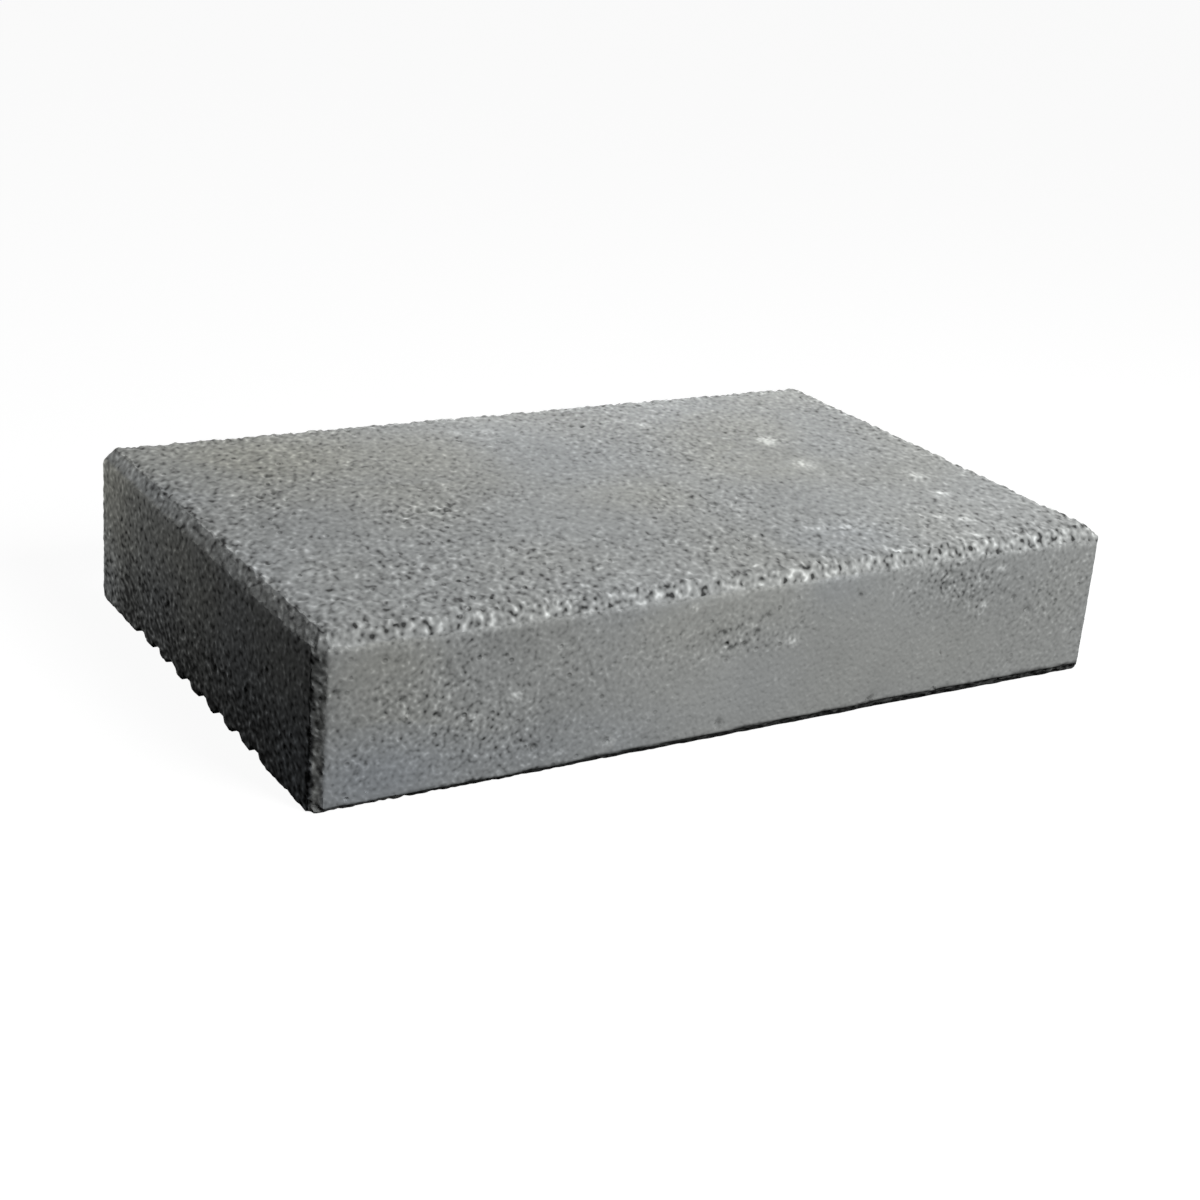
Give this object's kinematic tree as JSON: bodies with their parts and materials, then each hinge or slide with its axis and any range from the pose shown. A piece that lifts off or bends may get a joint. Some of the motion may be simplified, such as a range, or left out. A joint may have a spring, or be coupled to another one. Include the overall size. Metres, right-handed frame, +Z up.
{
  "type": "coping stone",
  "caption": "Rectangular precast concrete wall coping with a flat top, chamfered top edges and corners, and a bed ribbed with lengthwise key grooves.",
  "frame": {"origin": "middle of the bed, on the level of its two plain lands", "axes": "+X along the wall, +Y across the wall, +Z up out of the top face"},
  "size_m": [0.4064, 0.254, 0.0762],
  "materials": {
    "concrete": "grey precast concrete, fine open grain, coarser on the chamfers"
  },
  "bodies": {
    "root": {"coping_stone": "concrete"}
  },
  "joints": []
}
